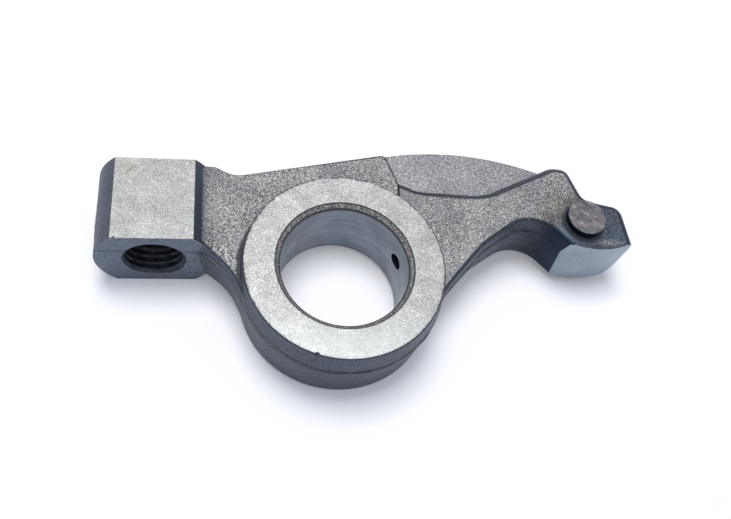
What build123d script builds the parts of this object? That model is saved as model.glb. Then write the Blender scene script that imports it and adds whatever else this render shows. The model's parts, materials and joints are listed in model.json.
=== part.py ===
from build123d import *
from math import acos, atan2, cos, degrees, hypot, radians, sin, sqrt, tan
import os

# Cast steel rocker arm: one solid, lying with its shaft bore upright.
# Origin: middle of the shaft bore.  +Z runs along the bore, +X towards the slipper pad,
# +Y towards the lock-nut side.  All lengths are in millimetres.
# The two halves of the mould meet at a parting plane a little above mid-width.  Each half
# of the casting is modelled upwards from that plane, with its outline there, and drafted
# away from it.  `side` is UPPER or LOWER.

# Shaft boss
BORE_RADIUS = 8.0            # runs on a 16 mm rocker shaft
BOSS_WALL = 4.5
BOSS_WIDTH = 10.8            # both bosses are ground to this width
BORE_CHAMFER = 0.7

# Adjusting-screw boss: a round boss across the end of the short arm
SCREW_ARM = 23.2             # bore axis to screw axis
SCREW_LEAN = 2.5             # degrees that the screw axis leans outwards
SCREW_CORE_RADIUS = 3.46     # core of an M8 x 1 thread
SCREW_BOSS_WALL = 3.8
SCREW_BOSS_FRONT = 2.0       # height of its front end above the bore axis
SCREW_BOSS_LENGTH = 11.4
SCREW_MOUTH_CHAMFER = 0.45

# Short arm: a flat web between the two bosses
WEB_THICKNESS = 7.4
WEB_EDGE_RADIUS = 0.5
WEB_FRONT_RADIUS = 9.0       # its front edge, where it turns down to the shaft boss
WEB_FLANK_RADIUS = 4.0       # hollow that carries its top up the flank of the screw boss
WEB_WAIST_X = -13.9          # lowest point of its back edge, beside the screw boss
WEB_WAIST_Y = 13.05
WEB_CREST_X = 6.1            # highest point, where it ends behind the shaft boss
WEB_CREST_Y = 18.05

# Seam where the two arms meet behind the shaft boss, a fine groove
SEAM_X = 7.6
SEAM_OVERLAP = 0.05

# Long arm: a flange that thickens from the boss to the hump behind the pad
ARM_ROOT_THICKNESS = 6.6
ARM_HUMP_THICKNESS = 8.9
ARM_TIP_THICKNESS = 8.2
ARM_TOP_RADIUS = 30.0        # blends between the slopes of its top
ARM_FRONT_EDGE_RADIUS = 0.6
ARM_BACK_EDGE_RADIUS = 1.5
ARM_BEND_RADIUS = 10.0
CROOK_X = 25.7               # where the walls of the crook would meet
CROOK_Y = 9.55
CROOK_RADIUS = 4.6           # hollow in front, between the arm and the pad's heel
HEEL_X = 31.2
HEEL_Y = 3.7
HUMP_FOOT_X = 19.4           # where the back starts to rise to the hump
HUMP_FOOT_Y = 12.6
HUMP_X = 29.3
HUMP_Y = 17.75
NECK_X = 33.6                # where it has dropped to the tip
NECK_Y = 12.9

# Slipper pad: a ground cylinder parallel to the bore
PAD_ARM = 33.7               # bore axis to the middle of the pad's curve
PAD_RADIUS = 12.0
PAD_REACH = 4.6              # from there back to its heel
PAD_HEIGHT = 4.6             # lowest line of the pad above the bore axis
TIP_X = 39.8                 # outer end of the tip

# Stiffening rib along the back of the long arm
RIB_THICKNESS = 4.6
RIB_X = 15.5                 # its highest point
RIB_Y = 19.5
RIB_RADIUS = 38.0

# Stub left where the casting gate was cut off, level with the ground face of the boss
GATE_X = 32.7
GATE_Y = 8.8
GATE_RADIUS = 2.6

# Oil hole from the bore into the long arm
OIL_HOLE_RADIUS = 1.1
OIL_HOLE_ANGLE = 23.5
OIL_HOLE_Z = 0.5
OIL_HOLE_DEPTH = 4.0

# Mould
UPPER, LOWER = 1, -1
PARTING_Z = 1.8
DRAFT = {UPPER: 6.5, LOWER: 3.0}
BOSS_EDGE_BREAK = {UPPER: 0.12, LOWER: 0.5}

BOSS_RADIUS = BORE_RADIUS + BOSS_WALL
BOSS_PARTING_RADIUS = BOSS_RADIUS + (BOSS_WIDTH / 2 - PARTING_Z) * tan(radians(DRAFT[UPPER]))
SCREW_BOSS_RADIUS = SCREW_CORE_RADIUS + SCREW_BOSS_WALL
SCREW_BOSS_BACK = SCREW_BOSS_FRONT + SCREW_BOSS_LENGTH
CLEAR = 50.0                 # farther than any part of the arm, for cutting blocks
SUNK = 0.05                  # depth to which a blending surface runs into what it meets
FROM_BASE = (Align.CENTER, Align.CENTER, Align.MIN)


def height(thickness, side):
    """Height above the parting plane of a face at half that thickness from mid-width."""
    return thickness / 2 - side * PARTING_Z


def drafted(outline, side, top):
    """A counter-clockwise outline on the parting plane, raised with the mould's draft."""
    return extrude(make_face(outline).face(), top, taper=DRAFT[side])


def below(*top):
    """Block across the casting, between a top profile in X and Z and the parting plane."""
    first, last = top[0] @ 0, top[-1] @ 1
    foot = Polyline(last, (last.X, -1), (first.X, -1), first)
    profile = Plane.XZ * make_face([*top, *foot.edges()])
    return extrude(profile, CLEAR, both=True)


def rim(limb):
    """Upper edges of a limb's drafted walls, where they stand clear of the shaft boss."""
    walls = [face for face in limb.faces() if 0 < face.normal_at().Z < 0.3]
    edges = [edge for wall in walls for edge in wall.edges()]
    upper = [edge for edge in edges if (edge @ 0.5).Z > 1 and abs((edge % 0.5).Z) < 0.75]
    return [edge for edge in upper if hypot((edge @ 0.5).X, (edge @ 0.5).Y) > BOSS_RADIUS]


def boss_half(side):
    """Shaft boss: a drafted drum with its rim broken."""
    top = height(BOSS_WIDTH, side)
    at_top = BOSS_PARTING_RADIUS - top * tan(radians(DRAFT[side]))
    drum = Rot(0, 0, -90) * Cone(BOSS_PARTING_RADIUS, at_top, top, align=FROM_BASE)
    return chamfer(drum.edges().sort_by(Axis.Z)[-1], BOSS_EDGE_BREAK[side])


def web_outline():
    """Short arm: from the end face of the screw boss it turns down to the shaft boss."""
    corner = (-SCREW_ARM + 5.8, SCREW_BOSS_FRONT + 0.25)
    bend = (-BOSS_PARTING_RADIUS - 1.05, -0.6)
    touch = atan2(bend[1], bend[0]) + acos(BOSS_PARTING_RADIUS / hypot(*bend))
    inside_screw_boss = -SCREW_ARM + SCREW_CORE_RADIUS + 1.2
    return FilletPolyline(
        (BOSS_PARTING_RADIUS * cos(touch), BOSS_PARTING_RADIUS * sin(touch)),
        (0, -4),
        (SEAM_X + SEAM_OVERLAP, 0),
        (SEAM_X + SEAM_OVERLAP, 13.8),
        (WEB_CREST_X, WEB_CREST_Y),
        (WEB_WAIST_X, WEB_WAIST_Y),
        (-SCREW_ARM + 6.8, SCREW_BOSS_BACK + 0.85),
        (-SCREW_ARM + 5.6, SCREW_BOSS_BACK + 0.6),
        (inside_screw_boss, SCREW_BOSS_BACK - 0.8),
        (inside_screw_boss, SCREW_BOSS_FRONT + 0.2),
        corner,
        bend,
        (BOSS_PARTING_RADIUS * cos(touch), BOSS_PARTING_RADIUS * sin(touch)),
        radius=[0, 0, 0, 0, 1.0, 3.0, 1.5, 0, 0, 0, 2.5, WEB_FRONT_RADIUS],
    )


def web_top(side):
    """Block under the web's top: flat, then hollow up the flank of the screw boss."""
    flat = height(WEB_THICKNESS, side)
    centre_z = flat + WEB_FLANK_RADIUS
    rise = centre_z - height(0, side)
    run = sqrt((SCREW_BOSS_RADIUS + WEB_FLANK_RADIUS - SUNK) ** 2 - rise ** 2)
    from_flank = 180 + degrees(atan2(rise, run))
    hollow = CenterArc((run, centre_z), WEB_FLANK_RADIUS, from_flank, 270 - from_flank)
    inside = Line(((hollow @ 0).X - 2.0, (hollow @ 0).Y), hollow @ 0)
    block = below(inside, hollow, Line(hollow @ 1, (CLEAR, flat)))
    return Pos(-SCREW_ARM, SCREW_BOSS_FRONT, 0) * Rot(0, 0, SCREW_LEAN) * block


def web_half(side):
    """Short arm: a web with its rim rounded between the screw boss and the seam."""
    blank = drafted(web_outline().edges(), side, height(2 * SCREW_BOSS_RADIUS, side)) & web_top(side)
    inner_x = -SCREW_ARM + 5.7
    free_rim = [edge for edge in rim(blank) if inner_x < (edge @ 0.5).X < SEAM_X - 0.6]
    return fillet(free_rim, WEB_EDGE_RADIUS)


def arm_front():
    """Outline whose lower edge is the front of the long arm: bend, crook and heel."""
    return FilletPolyline(
        (0, 0),
        (11.3, -4.9),
        (13.8, -1.2),
        (18.6, 4.4),
        (CROOK_X, CROOK_Y),
        (HEEL_X, HEEL_Y),
        (CLEAR, HEEL_Y),
        (CLEAR, CLEAR),
        (0, CLEAR),
        (0, 0),
        radius=[0, 0, 12.0, ARM_BEND_RADIUS, CROOK_RADIUS, 0, 0, 0, 0],
    )


def arm_back():
    """Outline whose upper edge is the back of the long arm: tip, hump and root."""
    return FilletPolyline(
        (SEAM_X - SEAM_OVERLAP, -CLEAR / 2),
        (TIP_X + 3.8, -CLEAR / 2),
        (TIP_X - 0.8, NECK_Y - 0.9),
        (NECK_X, NECK_Y),
        (HUMP_X + 2.5, HUMP_Y - 0.2),
        (HUMP_X, HUMP_Y),
        (HUMP_FOOT_X, HUMP_FOOT_Y),
        (10.3, 13.05),
        (SEAM_X - SEAM_OVERLAP, 14.25),
        (SEAM_X - SEAM_OVERLAP, -CLEAR / 2),
        radius=[0, 0, 2.0, 1.5, 1.8, 3.0, 6.0, 4.0, 0],
    )


def arm_top(side):
    """Block under the long arm's top, which rises to the hump and falls to the tip."""
    root = height(ARM_ROOT_THICKNESS, side)
    hump = height(ARM_HUMP_THICKNESS, side)
    tip = height(ARM_TIP_THICKNESS, side)
    along = FilletPolyline(
        (-2, root),
        (11.5, root),
        (23.0, hump),
        (30.5, hump),
        (36.0, tip),
        (CLEAR, tip),
        radius=ARM_TOP_RADIUS,
    )
    return below(*along.edges())


def arm_half(side):
    """Long arm: its back is rounded first, and then its front, with a smaller radius."""
    top = height(BOSS_WIDTH, side)
    blank = drafted(arm_back().edges(), side, top) & arm_top(side)
    beside_seam = SEAM_X + 0.1
    back_rim = [edge for edge in rim(blank) if (edge @ 0.5).X > beside_seam and (edge @ 0.5).Y > -5]
    blank = fillet(back_rim, ARM_BACK_EDGE_RADIUS) & drafted(arm_front().edges(), side, top)
    front_rim = [edge for edge in rim(blank) if (edge @ 0.5).Y < CROOK_Y and (edge @ 0.5).X < HEEL_X]
    return fillet(front_rim, ARM_FRONT_EDGE_RADIUS)


def rib_half(side):
    """Thin rib behind the long arm, its crest one long arc."""
    crest = CenterArc((RIB_X, RIB_Y - RIB_RADIUS), RIB_RADIUS, 69, 36)
    foot = Polyline(crest @ 1, (RIB_X - 10, BORE_RADIUS), (RIB_X + 10, BORE_RADIUS), crest @ 0)
    return drafted([crest, *foot.edges()], side, height(RIB_THICKNESS, side))


def casting_half(side):
    """Shaft boss and what grows from it, on one side of the parting plane."""
    beyond_seam = Pos(SEAM_X + CLEAR / 2, 0, 0) * Box(CLEAR, CLEAR, CLEAR)
    long_arm = arm_half(side) & beyond_seam
    return boss_half(side) + web_half(side) + long_arm + rib_half(side)


def screw_axis():
    """Location at the front end of the screw axis, its Z along the axis."""
    return Pos(-SCREW_ARM, SCREW_BOSS_FRONT, 0) * Rot(0, 0, SCREW_LEAN) * Rot(-90, 0, 0)


def screw_boss():
    """Round boss across the arm's end, its sides ground flat to the boss width."""
    blank = screw_axis() * Cylinder(SCREW_BOSS_RADIUS, SCREW_BOSS_LENGTH, align=FROM_BASE)
    return blank & Box(2 * CLEAR, 2 * CLEAR, BOSS_WIDTH)


def gate_stub():
    return Pos(GATE_X, GATE_Y, 0) * Cylinder(GATE_RADIUS, BOSS_WIDTH / 2, align=FROM_BASE)


def bored(radius, length, mouth_depth):
    """Cutter for a hole along Z from 0 to its length, with a chamfered mouth at both ends."""
    mouth = Cone(radius + mouth_depth, radius, mouth_depth, align=FROM_BASE)
    far_mouth = Pos(0, 0, length) * Rot(180, 0, 0) * mouth
    return Cylinder(radius, length, align=FROM_BASE) + mouth + far_mouth


def pad_cutter():
    """All that is ground away in front of the pad's cylinder, from its heel outwards."""
    corner = Pos(PAD_ARM - PAD_REACH, PAD_HEIGHT + PAD_RADIUS / 2, 0)
    waste = corner * Box(CLEAR, CLEAR, CLEAR, align=(Align.MIN, Align.MAX, Align.CENTER))
    return waste - Pos(PAD_ARM, PAD_HEIGHT + PAD_RADIUS, 0) * Cylinder(PAD_RADIUS, CLEAR)


def rocker_arm():
    halves = casting_half(UPPER) + mirror(casting_half(LOWER), Plane.XY)
    arm = Pos(0, 0, PARTING_Z) * halves + screw_boss()
    arm -= pad_cutter()
    arm += gate_stub()
    arm -= Pos(0, 0, -BOSS_WIDTH / 2) * bored(BORE_RADIUS, BOSS_WIDTH, BORE_CHAMFER)
    arm -= screw_axis() * bored(SCREW_CORE_RADIUS, SCREW_BOSS_LENGTH, SCREW_MOUTH_CHAMFER)
    oil_hole = Cylinder(OIL_HOLE_RADIUS, OIL_HOLE_DEPTH + BORE_RADIUS, align=FROM_BASE)
    arm -= Pos(0, 0, OIL_HOLE_Z) * Rot(0, 0, OIL_HOLE_ANGLE) * Rot(0, 90, 0) * oil_hole
    return arm


os.makedirs("parts", exist_ok=True)
part = rocker_arm()
part.label = "rocker_arm"
export_step(part, "parts/rocker_arm.step")
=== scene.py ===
"""Looks of a cast steel rocker arm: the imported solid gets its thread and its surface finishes.

The piece `rocker_casting` stands for the CAD node.  It is the same surface with the screw
thread cut into the tapped hole and a few nicks in its edges, and each face carries the finish
it was made with: shot-blasted casting, ground boss faces, ground slipper pad, reamed bore,
turned chamfers, cut thread and the ground-off gate stub.  The piece `parting_flash` is the fin
left round the casting where the two mould halves met.  Lengths below are in millimetres until
they meet Blender, which works in metres.
"""

import json
from math import cos, pi, radians, sin

import bmesh
import bpy
import numpy as np
from mathutils import Matrix, Vector


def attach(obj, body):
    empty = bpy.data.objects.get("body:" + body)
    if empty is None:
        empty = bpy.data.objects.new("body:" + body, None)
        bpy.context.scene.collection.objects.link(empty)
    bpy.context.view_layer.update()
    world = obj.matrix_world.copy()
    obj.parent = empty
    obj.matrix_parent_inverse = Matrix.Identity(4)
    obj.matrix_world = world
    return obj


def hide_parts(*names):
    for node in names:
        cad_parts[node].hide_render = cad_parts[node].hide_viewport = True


MM = 0.001

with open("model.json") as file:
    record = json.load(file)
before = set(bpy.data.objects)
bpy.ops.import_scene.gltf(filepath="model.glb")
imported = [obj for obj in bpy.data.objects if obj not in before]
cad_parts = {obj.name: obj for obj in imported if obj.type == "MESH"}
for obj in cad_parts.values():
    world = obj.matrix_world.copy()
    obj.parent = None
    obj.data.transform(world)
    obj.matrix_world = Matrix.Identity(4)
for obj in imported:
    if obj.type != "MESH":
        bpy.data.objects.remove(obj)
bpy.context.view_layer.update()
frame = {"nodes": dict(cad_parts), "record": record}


# Sizes taken from the frame

def mount(name):
    """The record's mount of that name."""
    return next(entry for entry in frame["record"]["mounts"] if entry["name"] == name)


BORE_RADIUS = mount("shaft_bore")["dims"]["r_mm"]
BORE_WALL = mount("shaft_bore")["dims"]["length_mm"]
HALF_WIDTH = mount("upper_thrust_face")["pos_m"][2] / MM
BORE_CHAMFER = HALF_WIDTH - BORE_WALL / 2
PAD_RADIUS = mount("pad")["dims"]["r_mm"]
PAD_LOW = np.array(mount("pad")["pos_m"]) / MM
SCREW_MIDDLE = np.array(mount("screw_hole")["pos_m"]) / MM
SCREW_AXIS = np.array(mount("screw_hole")["axis"])
CORE_RADIUS = mount("screw_hole")["dims"]["r_mm"]
CORE_LENGTH = mount("screw_hole")["dims"]["length_mm"]

# Sizes of the finish
BOSS_RADIUS = 12.5
STUB_AT = np.array([32.7, 8.8])
STUB_RADIUS = 2.6
THREAD_RADIUS = 4.0          # M8 x 1: outer radius of the screw
THREAD_PITCH = 1.0
SCREW_BOSS_END = 5.7         # from the middle of the tapped hole to either end of its boss
PARTING_HEIGHT = 1.8
FLASH_WIDTH = 0.42
FLASH_HEIGHT = 0.1
FLASH_STEP = 0.35
EDGE_WEAR = 0.1              # radius to which the eye sees every edge worn
SMOOTH_UP_TO = 30.0          # degrees between faces past which an edge stays sharp
OIL_HOLE_RADIUS = 1.1
OIL_HOLE_LEAN = 23.5         # degrees from +X towards +Y
OIL_HOLE_HEIGHT = 0.5
SCREW_BOSS_RADIUS = 7.26
LIP = 0.1                    # depth of the rubbed lip at the ends of the screw boss
NEAR = 0.03                  # a face lies on a surface that its middle is this near to
ALIKE = 0.99                 # product of unit vectors that point the same way, within 8 degrees
SQUARE_ON = 0.995            # the same within 6 degrees, for the faced ends of the screw boss
SAME_PLANE = 0.2             # degrees between faces that are parts of one flat face
# Nicks in the edges: middle and radius
NICKS = [
    ((-3.62, -11.98, 5.45), 0.34),
    ((-18.42, 9.14, 5.5), 0.3),
    ((9.1, -8.45, 5.5), 0.2),
    ((-27.6, 1.85, 5.5), 0.2),
    ((-6.1, 10.85, 5.5), 0.2),
    ((7.4, 10.2, -5.5), 0.3),
    ((-28.4, 5.1, -5.5), 0.26),
]

# Widths of the marks on the surface
SHOT_PIT = 0.15              # the pits of fine shot, drawn as coarse as they need to show
SHOT_CLUSTER = 0.4
COARSE_PIT = 0.28
SKIN_CLOUD = 5.0
GRIT_FLECK = 0.15            # the flecks of a ground face, drawn as coarse as they need to show
GRIT_CLUSTER = 0.4
GROUND_CLOUD = 2.5
RAGGED_LOBE = 0.5
HEAT_BLOT = 2.0
HEAT_SPARK = 0.17
SEAM_BEND = 1.5
RIM_LINE = 0.3
STUB_CLOUD = 0.9
LONG_SCRATCH = 0.13
CROSS_SCRATCH = 0.2
REAMER_RING = 0.45
BORE_CLOUD = 3.0
CHATTER_MARK = 0.2
STONE_LINE = 0.25
PAD_CLOUD = 4.0
OIL_FILM = 1.0
TAP_TEAR = 0.2

# The casting's marks
SCRATCHES_LEAN = 33          # degrees from +X
RIB_TOP = 2.3                # height of the rib's top above the arm's middle
HARDENED_AT = (35.0, 5.0, 0.0)
HEAT_FROM = 5.0              # distances from there between which the heat's tints run out
HEAT_TO = 12.0

# The camera and what it stands round
CAMERA_AT = np.array([-13.756, -45.764, 92.091])
CAMERA_TARGET = np.array([3.434, 3.534, 0.0])
CAMERA_ROLL = 19.82          # degrees
CAMERA_LENS = 40.05          # for a 36 mm wide sensor
FLOOR_HALF_WIDTH = 1500.0
ROOM_DIM = 0.04
ROOM_BRIGHT = 0.7
KEY_POWER = 3.4
TABLE_LIFT = 0.2             # the table's own glow to the eye near the object
LIFT_FROM, LIFT_TO = 0.1, 0.4    # metres from the object between which the glow rises to one
KEY_TOWARDS = (-0.1, 0.22, 0.97)
KEY_DISTANCE = 700
KEY_WIDTH = 300


# Shape

def add_mesh(name, points, faces):
    """An object at the origin from an (n, 3) array of points in millimetres and its faces."""
    mesh = bpy.data.meshes.new(name)
    mesh.from_pydata((np.asarray(points, float) * MM).tolist(), [], faces)
    mesh.validate()
    made = bpy.data.objects.new(name, mesh)
    bpy.context.scene.collection.objects.link(made)
    return made


def thread_cutter():
    """The tap: a screw-shaped solid whose radius is core + depth * trapezoid(z / pitch - turn).

    The two parameters of its surface are the turn round the axis and the height along it.
    """
    around, per_pitch = 48, 12
    past_mouth = 1.1
    reach = CORE_LENGTH / 2 + past_mouth
    heights = np.linspace(-reach, reach, int(2 * reach / THREAD_PITCH * per_pitch) + 1)
    turn, height = np.meshgrid(np.arange(around) / around, heights)
    wave = 1 - np.abs(2 * ((height / THREAD_PITCH - turn) % 1) - 1)
    flat = 0.15              # share of the pitch that is flat at the root, and at the crest
    depth = np.clip((wave - flat) / (1 - 2 * flat), 0, 1)
    inside = 0.03            # the tap's root stays just inside the drilled hole
    radius = CORE_RADIUS - inside + (THREAD_RADIUS - CORE_RADIUS + inside) * depth
    across = np.cross(SCREW_AXIS, [0, 0, 1.0])
    upward = np.cross(across, SCREW_AXIS)
    angle = 2 * pi * turn
    wall = (
        SCREW_MIDDLE
        + (radius * np.cos(angle))[..., None] * across
        + (radius * np.sin(angle))[..., None] * upward
        + height[..., None] * SCREW_AXIS
    ).reshape(-1, 3)
    rows = len(heights)
    here = np.arange(around)
    after = (here + 1) % around
    start = np.arange(rows - 1)[:, None] * around
    quads = np.stack([start + here, start + around + here, start + around + after, start + after], -1)
    last = (rows - 1) * around
    low, high = rows * around, rows * around + 1
    caps = np.concatenate([
        np.stack([np.full(around, low), here, after], -1),
        np.stack([np.full(around, high), last + after, last + here], -1),
    ])
    ends = [SCREW_MIDDLE - reach * SCREW_AXIS, SCREW_MIDDLE + reach * SCREW_AXIS]
    return add_mesh("tap", np.vstack([wall, ends]), quads.reshape(-1, 4).tolist() + caps.tolist())


def nick_cutter():
    """Small dents: globes whose radius is r * (1 + 0.25 sin(2 turn + n) cos(3 tilt))."""
    around, rows = 10, 5
    turn, tilt = np.meshgrid(
        2 * pi * np.arange(around) / around, np.linspace(-pi / 2, pi / 2, rows + 2)[1:-1]
    )
    number = np.arange(len(NICKS))[:, None, None]
    middle = np.array([place for place, _ in NICKS])
    size = np.array([radius for _, radius in NICKS])
    radius = size[:, None, None] * (1 + 0.25 * np.sin(2 * turn + number) * np.cos(3 * tilt))
    globe = np.stack([np.cos(tilt) * np.cos(turn), np.cos(tilt) * np.sin(turn), np.sin(tilt)], -1)
    skin = (middle[:, None, None] + radius[..., None] * globe).reshape(len(NICKS), -1, 3)
    poles = middle[:, None] + size[:, None, None] * np.array([[0, 0, -1.0], [0, 0, 1.0]])
    points = np.concatenate([skin, poles], axis=1)
    here = np.arange(around)
    after = (here + 1) % around
    start = np.arange(rows - 1)[:, None] * around
    quads = np.stack([start + here, start + after, start + around + after, start + around + here], -1)
    last, low, high = (rows - 1) * around, rows * around, rows * around + 1
    caps = np.concatenate([
        np.stack([np.full(around, low), after, here], -1),
        np.stack([np.full(around, high), last + here, last + after], -1),
    ])
    first = np.arange(len(NICKS))[:, None, None] * points.shape[1]
    faces = (first + quads.reshape(-1, 4)).reshape(-1, 4).tolist()
    faces += (first + caps).reshape(-1, 3).tolist()
    return add_mesh("nicks", points.reshape(-1, 3), faces)


def finished_mesh(thing):
    """The mesh of an object with its modifiers applied."""
    shown = thing.evaluated_get(bpy.context.evaluated_depsgraph_get())
    return bpy.data.meshes.new_from_object(shown)


def tapped_casting():
    """A merged copy of the CAD solid with the thread and the nicks cut into it.

    Edges sharper than SMOOTH_UP_TO stay sharp, and the large faces keep their own normals.
    """
    blank = bpy.data.objects.new("rocker_casting", frame["nodes"]["rocker_arm"].data.copy())
    bpy.context.scene.collection.objects.link(blank)
    merge = blank.modifiers.new("merge", "WELD")
    merge.merge_threshold = 1e-7
    cutters = [thread_cutter(), nick_cutter()]
    for cutter in cutters:
        cut = blank.modifiers.new("cut", "BOOLEAN")
        cut.operation = "DIFFERENCE"
        cut.solver = "EXACT"
        cut.object = cutter
    blank.data = finished_mesh(blank)
    blank.modifiers.clear()
    for cutter in cutters:
        bpy.data.objects.remove(cutter)
    mesh = blank.data
    mesh.name = "rocker_casting"
    for left_over in ("custom_normal", "sharp_edge", "sharp_face"):
        if left_over in mesh.attributes:
            mesh.attributes.remove(mesh.attributes[left_over])
    joined = bmesh.new()
    joined.from_mesh(mesh)
    bmesh.ops.dissolve_limit(joined, angle_limit=radians(SAME_PLANE), verts=joined.verts, edges=joined.edges)
    joined.to_mesh(mesh)
    joined.free()
    mesh.polygons.foreach_set("use_smooth", np.ones(len(mesh.polygons), bool))
    mesh.set_sharp_from_angle(angle=radians(SMOOTH_UP_TO))
    even = blank.modifiers.new("even", "WEIGHTED_NORMAL")
    even.keep_sharp = True
    blank.data = finished_mesh(blank)
    blank.modifiers.clear()
    return blank


def places_and_normals(mesh):
    """The middle, in millimetres, and the normal of every face."""
    values = np.empty((2, len(mesh.polygons) * 3))
    mesh.polygons.foreach_get("center", values[0])
    mesh.polygons.foreach_get("normal", values[1])
    return values[0].reshape(-1, 3) / MM, values[1].reshape(-1, 3)


def round_screw(points):
    """How far points lie along the axis of the tapped hole, and how far off it."""
    from_screw = points - SCREW_MIDDLE
    along = from_screw @ SCREW_AXIS
    return along, np.linalg.norm(from_screw - along[..., None] * SCREW_AXIS, axis=-1)


def on_pad(points, normals):
    """Which of the points are on the slipper pad."""
    off_pad = np.hypot(*np.moveaxis(points[..., :2] - (PAD_LOW[:2] + [0, PAD_RADIUS]), -1, 0))
    return (np.abs(off_pad - PAD_RADIUS) < NEAR) & (normals[..., 1] < -0.5)


def parting_outline(mesh):
    """Where the parting plane cuts the outside of the casting: straight bits and their normals.

    A triangle's edge that crosses the plane meets it at low + (high - low) * share.
    """
    mesh.calc_loop_triangles()
    corner = np.empty(len(mesh.loop_triangles) * 3, np.int32)
    mesh.loop_triangles.foreach_get("vertices", corner)
    face_normal = np.empty(len(mesh.loop_triangles) * 3)
    mesh.loop_triangles.foreach_get("normal", face_normal)
    spot = np.empty(len(mesh.vertices) * 3)
    mesh.vertices.foreach_get("co", spot)
    triangle = spot.reshape(-1, 3)[corner.reshape(-1, 3)] / MM
    height = triangle[..., 2] - (PARTING_HEIGHT + 0.0137)    # a little off the mesh's own points
    cut = np.sign(height) != np.sign(np.roll(height, -1, axis=1))
    crossing = cut.sum(axis=1) == 2
    triangle, height, cut = triangle[crossing], height[crossing], cut[crossing]
    follower, next_height = np.roll(triangle, -1, axis=1), np.roll(height, -1, axis=1)
    share = height / np.where(cut, height - next_height, 1)
    met = triangle + (follower - triangle) * share[..., None]
    bits = met[cut].reshape(-1, 2, 3)
    normal = face_normal.reshape(-1, 3)[crossing] * [1, 1, 0]
    normal /= np.linalg.norm(normal, axis=1)[:, None]
    middle = bits.mean(axis=1)
    along, off = round_screw(middle)
    inner = (np.hypot(middle[:, 0], middle[:, 1]) < BORE_RADIUS + 1) | (off < THREAD_RADIUS + 0.2)
    faced = np.abs(normal @ SCREW_AXIS) > ALIKE
    faced &= np.abs(np.abs(along) - SCREW_BOSS_END) < LIP
    keep = ~(inner | faced | on_pad(middle, normal))
    return bits[keep], normal[keep]


def parting_flash(casting):
    """The fin along the parting line: half sunk ovals set on the outline of the casting.

    A point of it is outline + normal * height * cos(a) + up * width / 2 * sin(a), where the
    height wavers along the outline and falls to nothing at the outline's ends.
    """
    bits, normal = parting_outline(casting.data)
    spots, back = np.unique(np.round(bits.reshape(-1, 3), 4), axis=0, return_inverse=True)
    back = back.reshape(-1, 2)
    outward = np.zeros_like(spots)
    for side in (0, 1):
        np.add.at(outward, back[:, side], normal)
    outward /= np.linalg.norm(outward, axis=1)[:, None]
    ends = np.bincount(back.ravel(), minlength=len(spots)) == 1
    length = np.linalg.norm(spots[back[:, 1]] - spots[back[:, 0]], axis=1)
    steps = np.maximum(1, np.ceil(length / FLASH_STEP).astype(int))
    whose = np.repeat(np.arange(len(steps)), steps)
    order = np.arange(len(whose)) - np.repeat(np.cumsum(steps) - steps, steps)
    share = np.stack([order, order + 1], -1) / steps[whose][:, None]
    first, last = back[whose, 0][:, None], back[whose, 1][:, None]

    def between(values):
        return values[first] * (1 - share[..., None]) + values[last] * share[..., None]

    place, out = between(spots), between(outward)
    x, y = place[..., 0], place[..., 1]
    waver = 1 + 0.3 * np.sin(1.9 * x + 0.7 * y) + 0.2 * np.sin(4.3 * y - 2.6 * x)
    tall = FLASH_HEIGHT * waver * (1 - between(ends[:, None].astype(float))[..., 0])
    place[..., 2] = PARTING_HEIGHT + 0.04 * np.sin(0.8 * x) + 0.03 * np.sin(1.7 * y)
    turn = 2 * pi * np.arange(8) / 8
    oval = (
        place[:, :, None]
        + out[:, :, None] * (tall[..., None] * np.cos(turn))[..., None]
        + (FLASH_WIDTH / 2 * (tall / FLASH_HEIGHT)[..., None] * np.sin(turn))[..., None] * [0, 0, 1.0]
    )
    base = np.arange(len(oval))[:, None] * 16
    here, after = np.arange(8), (np.arange(8) + 1) % 8
    quads = np.stack([base + here, base + 8 + here, base + 8 + after, base + after], -1)
    fin = add_mesh("parting_flash", oval.reshape(-1, 3), quads.reshape(-1, 4).tolist())
    join = fin.modifiers.new("join", "WELD")
    join.merge_threshold = 2e-6
    fin.data = finished_mesh(fin)
    fin.modifiers.clear()
    fin.data.name = "parting_flash"
    tidy = bmesh.new()
    tidy.from_mesh(fin.data)
    bmesh.ops.recalc_face_normals(tidy, faces=tidy.faces)
    tidy.to_mesh(fin.data)
    tidy.free()
    fin.data.polygons.foreach_set("use_smooth", np.ones(len(fin.data.polygons), bool))
    return fin


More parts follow.
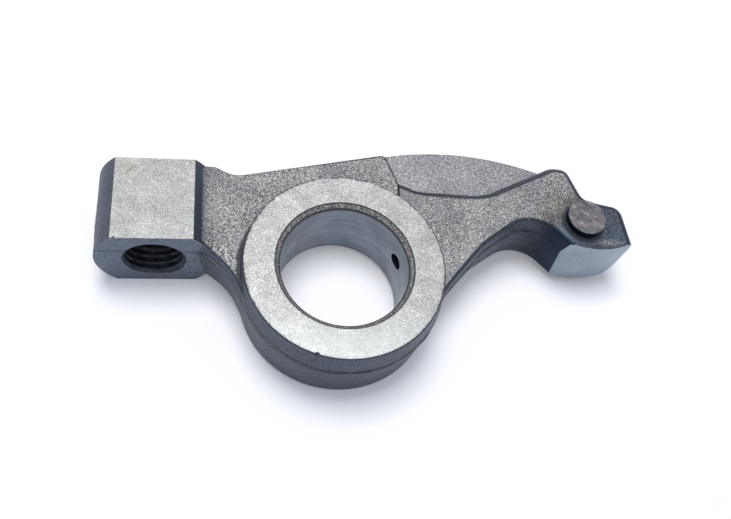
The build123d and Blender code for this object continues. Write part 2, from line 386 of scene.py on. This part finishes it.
def finish_of_faces(mesh):
    """For each face, which finish it was made with, told by where it lies and where it looks."""
    centre, normal = places_and_normals(mesh)
    from_bore = np.hypot(centre[:, 0], centre[:, 1])
    level = np.abs(normal[:, 2])
    along_screw, off_screw = round_screw(centre)
    at_end = np.abs(np.abs(along_screw) - SCREW_BOSS_END) < LIP
    off_stub = np.hypot(*(centre[:, :2] - STUB_AT).T)
    lean = radians(OIL_HOLE_LEAN)
    off_oil = np.hypot(centre[:, :2] @ [-sin(lean), cos(lean)], centre[:, 2] - OIL_HOLE_HEIGHT)
    in_oil = (off_oil < OIL_HOLE_RADIUS + NEAR) & (centre[:, 0] > 0)
    flat = (level > ALIKE) & (np.abs(centre[:, 2]) > HALF_WIDTH - NEAR)
    half_way = np.abs(level - cos(pi / 4)) < 0.2
    rules = [
        ("ground", flat),
        ("stub", flat & (off_stub < STUB_RADIUS + NEAR)),
        ("bore", (from_bore < BORE_RADIUS + NEAR) & (level < 1 - ALIKE)),
        ("chamfer", (from_bore < BORE_RADIUS + BORE_CHAMFER + NEAR) & half_way),
        ("pad", on_pad(centre, normal)),
        ("faced", at_end & (np.abs(normal @ SCREW_AXIS) > SQUARE_ON) & (off_screw < SCREW_BOSS_RADIUS)),
        ("thread", (off_screw < THREAD_RADIUS + NEAR) & ~at_end),
        ("thread", in_oil & (from_bore > BORE_RADIUS + NEAR)),
    ]
    order = list(FINISHES)
    slots = np.full(len(centre), order.index("cast"), np.int32)
    for finish, rule in rules:
        slots[rule] = order.index(finish)
    return slots


# Materials

def linear(code):
    """An sRGB hex colour as linear red, green, blue and alpha."""
    srgb = np.array([int(code[i:i + 2], 16) for i in (1, 3, 5)]) / 255
    rgb = np.where(srgb <= 0.04045, srgb / 12.92, ((srgb + 0.055) / 1.055) ** 2.4)
    return (*rgb, 1.0)


def add_node(tree, kind, inputs=(), give=0, stops=(), **settings):
    """A new node, made with its settings, and one of its outputs, by number or name.

    The inputs, by number or name, are sockets to link, hex colours or plain values, and the
    stops are the places and hex colours of a colour ramp."""
    node = tree.nodes.new(kind)
    for name, value in settings.items():
        setattr(node, name, value)
    for number, (place, code) in enumerate(stops):
        ramp = node.color_ramp.elements
        stop = ramp[number] if number < len(ramp) else ramp.new(place)
        stop.position = place
        stop.color = linear(code)
    for name, value in dict(inputs).items():
        if isinstance(value, bpy.types.NodeSocket):
            tree.links.new(value, node.inputs[name])
        else:
            node.inputs[name].default_value = linear(value) if isinstance(value, str) else value
    return node.outputs[give] if len(node.outputs) else None


class Finish:
    """A material in the making: its node tree, and the place of each point in millimetres."""

    def __init__(self, name):
        self.material = bpy.data.materials.new(name)
        self.material.use_nodes = True
        self.tree = self.material.node_tree
        self.tree.nodes.clear()
        here = self.add("ShaderNodeTexCoord", give="Object")
        self.place = self.add("ShaderNodeVectorMath", {0: here, "Scale": 1 / MM}, operation="SCALE")

    def add(self, kind, inputs=(), give=0, stops=(), **settings):
        """A node of this material."""
        return add_node(self.tree, kind, inputs, give, stops, **settings)

    def share(self, *limits, most=1.0):
        """The most of a coat where every value has passed its second limit, and softly less
        down to nothing where one of them is at its first limit."""
        for value, none_at, all_at in limits:
            most = self.add("ShaderNodeMapRange", {0: value, 1: none_at, 2: all_at, 4: most},
                            interpolation_type="SMOOTHSTEP")
        return most

    def patch(self, centre, reach, turn=0.0, soft=0.5, ragged=0.0, most=1.0):
        """The share of a coat that lies in an oval of that centre and half sizes, turned about Z
        by turn degrees.  It fades out over the oval's soft outer part, and ragged pushes the
        edge in and out."""
        local = self.add("ShaderNodeMapping", {0: self.place, 1: centre, 2: (0, 0, radians(turn)),
                                               3: reach}, vector_type="TEXTURE")
        away = self.add("ShaderNodeVectorMath", {0: local}, give=1, operation="LENGTH")
        if ragged:
            lobes = self.add("ShaderNodeTexNoise", {"Vector": self.place, "Scale": 1 / RAGGED_LOBE,
                                                    "Detail": 1.0})
            away = self.add("ShaderNodeMath", {0: lobes, 1: ragged, 2: away}, operation="MULTIPLY_ADD")
        return self.share((away, 1.0 + ragged / 2, 1.0 - soft + ragged / 2), most=most)

    def cover(self, colour, *coats):
        """A colour with coats laid over it in turn, each given by its share and its colour."""
        for share, coat in coats:
            colour = self.add("ShaderNodeMix", {0: share, 6: colour, 7: coat}, give=2,
                              data_type="RGBA")
        return colour

    def from_bore(self):
        """The distance from the axis of the bore, in millimetres."""
        flat = self.add("ShaderNodeVectorMath", {0: self.place, 1: (1, 1, 0)}, operation="MULTIPLY")
        return self.add("ShaderNodeVectorMath", {0: flat}, give=1, operation="LENGTH")

    def steel(self, colour, bump, height, metallic, roughness):
        """The surface, with a bump of that height in millimetres and slightly worn edges."""
        rounded = self.add("ShaderNodeBevel", {"Radius": EDGE_WEAR * MM}, samples=4)
        normal = self.add("ShaderNodeBump", {"Strength": 1.0, "Distance": height * MM,
                                             "Height": bump, "Normal": rounded})
        surface = self.add("ShaderNodeBsdfPrincipled", {
            "Base Color": colour, "Metallic": metallic, "Roughness": roughness, "Normal": normal,
        })
        self.add("ShaderNodeOutputMaterial", {"Surface": surface})
        return self.material


class CastingSkin(Finish):
    """Cast steel, shot-blasted: to the eye a grey skin flecked by the shot where it lies flat,
    and a smoother blue-grey scale on the walls, which the shot only grazed; the walls' darker tone
    is partly that scale and partly painted shade.  Painted shade runs in a dark line above the
    fin at the mould's parting line and lies in the corners, and the hardened pad end is blued,
    with straw and brown where the heat ran out."""

    def __init__(self, name):
        super().__init__(name)
        away_from_middle = self.add("ShaderNodeVectorMath", {0: self.place}, operation="ABSOLUTE")
        self.tall = self.add("ShaderNodeSeparateXYZ", {0: away_from_middle}, give="Z")
        self.across = self.add("ShaderNodeSeparateXYZ", {0: self.place}, give="X")
        self.depth = self.add("ShaderNodeSeparateXYZ", {0: self.place}, give="Y")
        normal = self.add("ShaderNodeTexCoord", give="Normal")
        turned = self.add("ShaderNodeVectorMath", {0: normal}, operation="ABSOLUTE")
        self.level = self.add("ShaderNodeSeparateXYZ", {0: turned}, give="Z")
        # One on tops, nothing on walls, from how level a face is: towards the screw boss the
        # slopes of its flank count as top too
        starts, ends = [
            self.add("ShaderNodeMapRange", {0: self.across, 1: -10.0, 2: 0.0, 3: by_screw, 4: beyond},
                     interpolation_type="SMOOTHSTEP")
            for by_screw, beyond in ((0.76, 0.955), (0.9, 0.99))
        ]
        self.top = self.share((self.level, starts, ends))

    def flecks(self):
        """The pits that the shot left: their height, their clusters alone, and their tone."""
        pits, clusters, cloud, specks = [
            self.add("ShaderNodeTexNoise", {"Vector": self.place, "Scale": 1 / size, "Detail": detail})
            for size, detail in (
                (SHOT_PIT, 1.0), (SHOT_CLUSTER, 1.0), (SKIN_CLOUD, 2.0), (COARSE_PIT, 1.0))
        ]
        grain = self.add("ShaderNodeMix", {0: 0.2, 2: pits, 3: clusters})
        shade = self.add("ShaderNodeMapRange", {0: cloud, 1: 0.25, 2: 0.75, 3: -0.03, 4: 0.03},
                         interpolation_type="SMOOTHSTEP")
        tone = self.add("ShaderNodeMath", {0: grain, 1: shade})
        # The web's front rim is pitted more coarsely
        pitted = self.patch(centre=(-15.2, 1.9, 3.5), reach=(3.4, 1.1, 1.2), turn=-32, soft=0.7,
                            ragged=0.5)
        bright = self.add("ShaderNodeMapRange", {0: specks, 1: 0.42, 2: 0.62, 3: -0.14, 4: 0.13},
                          interpolation_type="SMOOTHSTEP")
        tone = self.add("ShaderNodeMath", {0: pitted, 1: bright, 2: tone}, operation="MULTIPLY_ADD")
        return grain, clusters, tone

    def bare_skin(self, tone, wall_dark, wall_light):
        """Tops and walls, the walls' darker tone partly painted shade, with painted shade on the slopes and
        along the edges of the tops.
        """
        top = self.add("ShaderNodeValToRGB", {0: tone}, stops=[
            (0.33, "#37373b"), (0.46, "#707073"), (0.55, "#929292"), (0.67, "#c8c6c0")])
        # The walls' darker, bluer tone: partly their smoother scale, partly painted shade
        wall = self.add("ShaderNodeValToRGB", {0: tone}, stops=[
            (0.32, wall_dark), (0.66, wall_light)])
        lightened = self.add("ShaderNodeMath", {0: self.top, 1: 0.4}, operation="MULTIPLY")
        rib = self.share((self.tall, RIB_TOP + 0.1, RIB_TOP - 0.1), most=lightened)
        # Painted shade on sloping faces, except towards the screw boss
        slope_shade = self.share((self.level, 0.3, 0.6), (self.top, 1.0, 0.0), (self.across, -21.0, -18.0),
                           most=0.6)
        # A line of painted shade along every edge of a top: there the normal of the rounded edge turns away
        true = self.add("ShaderNodeNewGeometry", give="Normal")
        rounded = self.add("ShaderNodeBevel", {"Radius": RIM_LINE * MM}, samples=8)
        alike = self.add("ShaderNodeVectorMath", {0: true, 1: rounded}, give=1,
                         operation="DOT_PRODUCT")
        dark = self.add("ShaderNodeMath", {0: self.top, 1: 0.6}, operation="MULTIPLY")
        edge_shade = self.share((alike, 0.98, 0.86), most=dark)
        top = self.cover(top, (rib, "#b4b4b7"))
        return self.cover(wall, (self.top, top), (slope_shade, "#2f3137"), (edge_shade, "#2c2d32"))

    def blued_end(self, colour):
        """The hardened end: tints by the distance the heat ran, blued walls, light flecks by the pad, a
        painted sheen and painted shade round the stub.
        """
        away = self.add("ShaderNodeVectorMath", {0: self.place, 1: HARDENED_AT}, give=1,
                        operation="DISTANCE")
        blots = self.add("ShaderNodeTexNoise", {"Vector": self.place, "Scale": 1 / HEAT_BLOT,
                                                "Detail": 2.0})
        waver = self.add("ShaderNodeMapRange", {0: blots, 1: 0.3, 2: 0.7, 3: -0.7, 4: 0.7},
                         interpolation_type="SMOOTHSTEP")
        ran = self.add("ShaderNodeMapRange", {
            0: self.add("ShaderNodeMath", {0: away, 1: waver}), 1: HEAT_FROM, 2: HEAT_TO})
        tint = self.add("ShaderNodeValToRGB", {0: ran}, stops=[
            (0.25, "#8090a8"), (0.43, "#9397a6"), (0.52, "#b3adaf"), (0.6, "#c8c3bb"),
            (0.68, "#e9e5db"), (0.9, "#ffffff")])
        colour = self.add("ShaderNodeMix", {0: 1.0, 6: colour, 7: tint}, give=2, data_type="RGBA",
                          blend_type="MULTIPLY")
        blued = self.share((away, HEAT_TO, 6.0), (self.top, 0.6, 0.0), most=0.8)
        # A painted sheen: a lighter streak along the arm's edge near the crook, standing in for a reflection
        painted_sheen = self.patch(centre=(29.6, 6.9, 3.9), reach=(2.6, 0.55, 1.2), turn=-49, soft=0.8,
                           ragged=0.3, most=0.55)
        dots = self.add("ShaderNodeTexNoise", {"Vector": self.place, "Scale": 1 / HEAT_SPARK,
                                               "Detail": 1.0})
        by_pad = self.patch(centre=(36.0, 5.75, 4.0), reach=(2.6, 0.7, 1.2), turn=4, soft=0.7,
                            ragged=0.4, most=0.7)
        sparks = self.share((dots, 0.42, 0.7), most=by_pad)
        # Painted shade: a dark ring round the stub, where its wall and its shadow lie
        stub_shade = self.patch(centre=(STUB_AT[0] - 0.3, STUB_AT[1] - 0.45, 3.9), reach=(3.25, 3.25, 2.0),
                          soft=0.15, ragged=0.1, most=0.85)
        return self.cover(colour, (blued, "#222d3e"), (painted_sheen, "#7f8d9b"), (sparks, "#b9b8ab"),
                          (stub_shade, "#141b28"))

    def painted_crease_shade(self, colour, clusters):
        """Painted shade round the foot of the boss, at the foot of the long arm's back, and on the walls
        between the two bosses.
        """
        # Painted shade in the corner where the web and arm meet the boss, wider on the left
        deep = self.patch(centre=(-13.0, -0.5, 3.7), reach=(1.8, 9.0, 2.0), turn=-8, soft=0.9)
        reach = self.add("ShaderNodeMapRange", {
            0: deep, 3: BOSS_RADIUS + 0.38, 4: BOSS_RADIUS + 0.8}, interpolation_type="SMOOTHSTEP")
        ragged = self.add("ShaderNodeMapRange", {0: clusters, 1: 0.35, 2: 0.65, 3: -0.12, 4: 0.12},
                          interpolation_type="SMOOTHSTEP")
        reach = self.add("ShaderNodeMath", {0: reach, 1: ragged})
        inside = self.add("ShaderNodeMath", {0: reach, 1: self.from_bore()}, operation="SUBTRACT")
        thick = self.add("ShaderNodeMath", {0: self.top, 1: 0.9}, operation="MULTIPLY")
        corner = self.share((inside, 0.0, 0.22), most=thick)
        # Painted shade at the foot of the long arm's back wall, just above the rib
        foot_shade = self.share((self.tall, RIB_TOP - 0.15, RIB_TOP), (self.tall, 3.4, 2.5),
                          (self.depth, 7.0, 9.0), (self.top, 1.0, 0.0), (self.across, 0.0, 2.0),
                          (self.across, 27.0, 24.0), most=0.75)
        # Painted shade on the walls between the screw boss and the bore
        front = self.patch(centre=(-14.5, -5.0, 0.0), reach=(5.5, 5.0, 9.0), turn=-40, soft=0.8,
                           most=0.5)
        hollow_shade = self.share((self.top, 0.5, 0.0), most=front)
        return self.cover(colour, (corner, "#1d1e23"), (foot_shade, "#23272f"), (hollow_shade, "#23262d"))

    def seam_shade(self):
        """The share of the painted shade that lies just above the flash: a dark line along the crease on the
        parting line.
        """
        height = self.add("ShaderNodeSeparateXYZ", {0: self.place}, give="Z")
        bends = self.add("ShaderNodeTexNoise", {"Vector": self.place, "Scale": 1 / SEAM_BEND,
                                                "Detail": 1.0})
        waver = self.add("ShaderNodeMapRange", {0: bends, 1: 0.3, 2: 0.7, 3: -0.08, 4: 0.08},
                         interpolation_type="SMOOTHSTEP")
        wavering = self.add("ShaderNodeMath", {0: height, 1: waver})
        above = self.add("ShaderNodeMath", {0: wavering, 1: PARTING_HEIGHT + 0.26},
                         operation="SUBTRACT")
        off_seam = self.add("ShaderNodeMath", {0: above}, operation="ABSOLUTE")
        return self.share((off_seam, 0.3, 0.04), (self.top, 0.3, 0.0), most=0.5)

    def made(self, wall_dark, wall_light):
        """The whole skin, its walls between two tones."""
        grain, clusters, tone = self.flecks()
        colour = self.bare_skin(tone, wall_dark, wall_light)
        colour = self.painted_crease_shade(self.blued_end(colour), clusters)
        smear = self.patch(centre=(-23.0, 2.0, -2.6), reach=(0.55, 0.8, 2.2), soft=0.9, ragged=0.4,
                           most=0.35)
        colour = self.cover(colour, (self.seam_shade(), "#22262e"), (smear, "#8f877c"))
        roughness, metallic = [
            self.add("ShaderNodeMapRange", {0: self.top, 3: on_walls, 4: on_tops},
                     interpolation_type="SMOOTHSTEP")
            for on_walls, on_tops in ((0.48, 0.62), (0.9, 0.35))
        ]
        return self.steel(colour, grain, 0.06, metallic, roughness)


def shot_blasted_casting():
    """The casting's own skin."""
    return CastingSkin("shot_blasted_cast_steel").made("#31373f", "#606875")


def faced_end():
    """The ends of the screw boss: the same skin, paler where it was rubbed flat."""
    return CastingSkin("rubbed_cast_steel").made("#4a525e", "#798391")


def ground_face():
    """Cast steel faced on a surface grinder: to the eye a bright, pale face, finely flecked,
    whose rim breaks off ragged and dark.  The flecks are drawn coarser than the grinder's grit,
    so that they show."""
    finish = Finish("ground_steel")
    flecks, clusters, cloud, chips = [
        finish.add("ShaderNodeTexNoise", {"Vector": finish.place, "Scale": 1 / size, "Detail": detail})
        for size, detail in (
            (GRIT_FLECK, 1.0), (GRIT_CLUSTER, 1.0), (GROUND_CLOUD, 2.0), (RAGGED_LOBE, 2.0))
    ]
    grain = finish.add("ShaderNodeMix", {0: 0.25, 2: flecks, 3: clusters})
    shade, ragged = [
        finish.add("ShaderNodeMapRange", {0: noise, 1: low, 2: 1 - low, 3: -swing, 4: swing},
                   interpolation_type="SMOOTHSTEP")
        for noise, low, swing in ((cloud, 0.25, 0.04), (chips, 0.3, 0.14))
    ]
    tone = finish.add("ShaderNodeMath", {0: grain, 1: shade})
    colour = finish.add("ShaderNodeValToRGB", {0: tone}, stops=[
        (0.34, "#77797a"), (0.46, "#9c9d9a"), (0.55, "#b1b1ad"), (0.68, "#e0e0d9")])
    out = finish.add("ShaderNodeMath", {0: finish.from_bore(), 1: ragged})
    rim = finish.share((out, BOSS_RADIUS - 0.3, BOSS_RADIUS - 0.12),
                       (out, BOSS_RADIUS + 0.4, BOSS_RADIUS + 0.3), most=0.8)
    stain = finish.patch(centre=(-27.2, 11.8, HALF_WIDTH), reach=(1.5, 1.5, 2), soft=0.8, ragged=0.4,
                         most=0.45)
    streak = finish.patch(centre=(-26.6, 11.5, HALF_WIDTH), reach=(1.4, 0.24, 2), turn=54, soft=0.6,
                          ragged=0.3, most=0.75)
    chip = finish.patch(centre=(-3.62, -12.1, HALF_WIDTH), reach=(0.5, 0.5, 1), soft=0.4, ragged=0.4,
                        most=0.9)
    across = finish.add("ShaderNodeSeparateXYZ", {0: finish.place}, give="X")
    depth = finish.add("ShaderNodeSeparateXYZ", {0: finish.place}, give="Y")
    # The flat of the screw boss is duller; the ring's front is painted brighter and the long
    # arm's side of the ring painted darker, a painted reflection across the ring
    dull = finish.share((across, -15.0, -17.0), most=0.2)
    lightened = finish.share((depth, -4.0, -12.0), most=0.4)
    painted_side_shade = finish.share((across, 6.0, 12.0), most=0.14)
    colour = finish.cover(colour, (rim, "#4a4a4f"), (stain, "#9d9684"), (streak, "#8a8071"),
                          (chip, "#222326"), (dull, "#77787a"), (lightened, "#dfe3e3"),
                          (painted_side_shade, "#77787a"))
    return finish.steel(colour, grain, 0.02, 0.35, 0.52)


def sawn_stub():
    """Cast steel where the gate was ground off by hand: brown-grey, with crossing scratches."""
    finish = Finish("hand_ground_steel")
    cloud = finish.add("ShaderNodeTexNoise", {"Vector": finish.place, "Scale": 1 / STUB_CLOUD,
                                              "Detail": 3.0})
    turned = finish.add("ShaderNodeMapping", {0: finish.place, 2: (0, 0, radians(SCRATCHES_LEAN))})
    stretched = [
        finish.add("ShaderNodeVectorMath", {0: turned, 1: stretch}, operation="MULTIPLY")
        for stretch in ((0.07, 1.0, 1.0), (1.0, 0.3, 1.0))
    ]
    strong, weak = [
        finish.add("ShaderNodeTexNoise", {
            "Vector": along, "Scale": 1 / width, "Detail": 2.0, "Distortion": 0.4})
        for along, width in zip(stretched, (LONG_SCRATCH, CROSS_SCRATCH))
    ]
    tone = finish.add("ShaderNodeMath", {0: strong, 1: 0.4}, operation="MULTIPLY")
    for part, weight in ((weak, 0.15), (cloud, 0.45)):
        tone = finish.add("ShaderNodeMath", {0: part, 1: weight, 2: tone}, operation="MULTIPLY_ADD")
    colour = finish.add("ShaderNodeValToRGB", {0: tone}, stops=[
        (0.36, "#3f3d43"), (0.48, "#625f65"), (0.56, "#736f72"), (0.68, "#b3adad")])
    return finish.steel(colour, tone, 0.03, 0.4, 0.5)


def reamed_bore():
    """Reamed steel: a smooth blue-grey wall with faint rings left by the reamer's edges, drawn
    broader than they are so that they show, and dark at both mouths with painted shade, the lower one
    standing in for the shadow where the bore meets the table."""
    finish = Finish("reamed_steel")
    drawn_out = finish.add("ShaderNodeVectorMath", {0: finish.place, 1: (0.03, 0.03, 1.0)},
                           operation="MULTIPLY")
    rings, cloud = [
        finish.add("ShaderNodeTexNoise", {"Vector": place, "Scale": 1 / width, "Detail": 2.0})
        for place, width in ((drawn_out, REAMER_RING), (finish.place, BORE_CLOUD))
    ]
    tone = finish.add("ShaderNodeMix", {0: 0.5, 2: rings, 3: cloud})
    colour = finish.add("ShaderNodeValToRGB", {0: tone}, stops=[(0.35, "#77808b"), (0.65, "#99a1ac")])
    away_from_middle = finish.add("ShaderNodeVectorMath", {0: finish.place}, operation="ABSOLUTE")
    tall = finish.add("ShaderNodeSeparateXYZ", {0: away_from_middle}, give="Z")
    mouth_shade = finish.share((tall, BORE_WALL / 2 - 0.35, BORE_WALL / 2 - 0.05), most=0.75)
    colour = finish.cover(colour, (mouth_shade, "#2b2f37"))
    return finish.steel(colour, rings, 0.004, 0.5, 0.4)


def turned_chamfer():
    """A chamfer turned with a chattering tool: dull grey-brown specks between two dark edges."""
    finish = Finish("turned_chamfer_steel")
    specks = finish.add("ShaderNodeTexNoise", {"Vector": finish.place, "Scale": 1 / CHATTER_MARK,
                                               "Detail": 1.0})
    colour = finish.add("ShaderNodeValToRGB", {0: specks}, stops=[
        (0.32, "#45454a"), (0.5, "#79787b"), (0.68, "#bab7b0")])
    middle = BORE_RADIUS + BORE_CHAMFER / 2
    past = finish.add("ShaderNodeMath", {0: finish.from_bore(), 1: middle}, operation="SUBTRACT")
    off_middle = finish.add("ShaderNodeMath", {0: past}, operation="ABSOLUTE")
    edges = finish.share((off_middle, BORE_CHAMFER / 2 - 0.2, BORE_CHAMFER / 2 - 0.1), most=0.85)
    colour = finish.cover(colour, (edges, "#1e2026"))
    return finish.steel(colour, specks, 0.02, 0.4, 0.5)


def ground_pad():
    """Hardened steel finished on a fine stone: an even, satin blue-grey.  The stone's lines are
    drawn coarser than they are, so that they show."""
    finish = Finish("ground_pad_steel")
    drawn_out = finish.add("ShaderNodeVectorMath", {0: finish.place, 1: (1.0, 1.0, 0.08)},
                           operation="MULTIPLY")
    lines, cloud = [
        finish.add("ShaderNodeTexNoise", {"Vector": place, "Scale": 1 / width, "Detail": 1.0})
        for place, width in ((drawn_out, STONE_LINE), (finish.place, PAD_CLOUD))
    ]
    tone = finish.add("ShaderNodeMix", {0: 0.6, 2: lines, 3: cloud})
    colour = finish.add("ShaderNodeValToRGB", {0: tone}, stops=[(0.35, "#8f9ba7"), (0.65, "#a0acb8")])
    return finish.steel(colour, lines, 0.002, 0.6, 0.42)


def cut_thread():
    """A tapped thread: dark, oily steel."""
    finish = Finish("tapped_steel")
    oil, tears = [
        finish.add("ShaderNodeTexNoise", {"Vector": finish.place, "Scale": 1 / size, "Detail": detail})
        for size, detail in ((OIL_FILM, 2.0), (TAP_TEAR, 1.0))
    ]
    colour = finish.add("ShaderNodeValToRGB", {0: oil}, stops=[(0.35, "#20252f"), (0.65, "#3b424e")])
    return finish.steel(colour, tears, 0.005, 0.6, 0.45)


FINISHES = {
    "cast": shot_blasted_casting,
    "ground": ground_face,
    "stub": sawn_stub,
    "bore": reamed_bore,
    "chamfer": turned_chamfer,
    "pad": ground_pad,
    "faced": faced_end,
    "thread": cut_thread,
}


def dress(casting, flash):
    """Give every face of the casting the finish it was made with, and the flash the casting's."""
    mesh = casting.data
    mesh.materials.clear()
    for make in FINISHES.values():
        mesh.materials.append(make())
    mesh.polygons.foreach_set("material_index", finish_of_faces(mesh))
    flash.data.materials.append(mesh.materials[list(FINISHES).index("cast")])


# Studio

def white_table():
    """A white table top that keeps the object's soft shadow."""
    half = FLOOR_HALF_WIDTH
    corners = [(-half, -half), (half, -half), (half, half), (-half, half)]
    table = add_mesh("table_top", [(x, y, -HALF_WIDTH) for x, y in corners], [(0, 1, 2, 3)])
    material = bpy.data.materials.new("white_board")
    material.use_nodes = True
    tree = material.node_tree
    tree.nodes.clear()
    matte = add_node(tree, "ShaderNodeBsdfDiffuse", {"Color": "#f0eff2"})
    seen = seen_share(tree)
    here = add_node(tree, "ShaderNodeTexCoord", give="Object")
    away = add_node(tree, "ShaderNodeVectorMath", {0: here}, give=1, operation="LENGTH")
    rising = add_node(tree, "ShaderNodeMapRange", {
        0: away, 1: LIFT_FROM, 2: LIFT_TO, 3: TABLE_LIFT, 4: 1.0})
    lift = add_node(tree, "ShaderNodeMath", {0: seen, 1: rising}, operation="MULTIPLY")
    glow = add_node(tree, "ShaderNodeEmission", {"Color": "#ffffff", "Strength": lift})
    both = add_node(tree, "ShaderNodeAddShader", {0: matte, 1: glow})
    add_node(tree, "ShaderNodeOutputMaterial", {"Surface": both})
    table.data.materials.append(material)


def seen_share(tree):
    """One for rays from the eye and for reflections, nothing for the light that falls."""
    eye = add_node(tree, "ShaderNodeLightPath", give="Is Camera Ray")
    mirror = add_node(tree, "ShaderNodeLightPath", give="Is Glossy Ray")
    return add_node(tree, "ShaderNodeMath", {0: eye, 1: mirror}, operation="MAXIMUM")


def overcast_room():
    """A world that is white to the eye, bright overhead and bluish and dim near the horizon."""
    world = bpy.data.worlds.new("room")
    bpy.context.scene.world = world
    world.use_nodes = True
    tree = world.node_tree
    tree.nodes.clear()
    direction = add_node(tree, "ShaderNodeTexCoord", give="Generated")
    height = add_node(tree, "ShaderNodeSeparateXYZ", {0: direction}, give="Z")
    rise = add_node(tree, "ShaderNodeMapRange", {0: height, 1: 0.2, 2: 1.0})
    ceiling = add_node(tree, "ShaderNodeMapRange", {0: rise, 3: ROOM_DIM, 4: ROOM_BRIGHT})
    tint = add_node(tree, "ShaderNodeValToRGB", {0: rise}, stops=[(0.0, "#9dbcf5"), (1.0, "#eef3ff")])
    seen = seen_share(tree)
    strength = add_node(tree, "ShaderNodeMath", {0: seen, 1: ceiling}, operation="MAXIMUM")
    white = add_node(tree, "ShaderNodeMix", {0: seen, 6: tint, 7: "#ffffff"}, give=2, data_type="RGBA")
    air = add_node(tree, "ShaderNodeBackground", {"Color": white, "Strength": strength})
    add_node(tree, "ShaderNodeOutputWorld", {"Surface": air})


def soft_box(name, towards, distance, width, power):
    """A square lamp that looks at the object from a direction."""
    lamp = bpy.data.lights.new(name, "AREA")
    lamp.shape = "SQUARE"
    lamp.size = width * MM
    lamp.energy = power
    made = bpy.data.objects.new(name, lamp)
    bpy.context.scene.collection.objects.link(made)
    away = Vector(towards).normalized()
    made.location = away * distance * MM
    made.rotation_mode = "QUATERNION"
    made.rotation_quaternion = away.to_track_quat("Z", "Y")


def camera():
    """The camera, looking down on the arm."""
    lens = bpy.data.cameras.new("camera")
    lens.lens = CAMERA_LENS
    lens.clip_start = 0.005
    made = bpy.data.objects.new("camera", lens)
    bpy.context.scene.collection.objects.link(made)
    back = Vector(CAMERA_AT - CAMERA_TARGET).normalized()
    turn = back.to_track_quat("Z", "Y").to_matrix().to_4x4() @ Matrix.Rotation(radians(CAMERA_ROLL), 4, "Z")
    made.matrix_world = Matrix.Translation(Vector(CAMERA_AT * MM)) @ turn
    bpy.context.scene.camera = made


casting = tapped_casting()
flash = parting_flash(casting)
dress(casting, flash)
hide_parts("rocker_arm")
for piece in (casting, flash):
    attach(piece, "root")
white_table()
overcast_room()
soft_box("key_lamp", KEY_TOWARDS, KEY_DISTANCE, KEY_WIDTH, KEY_POWER)
camera()
bpy.context.scene.view_settings.view_transform = "Standard"
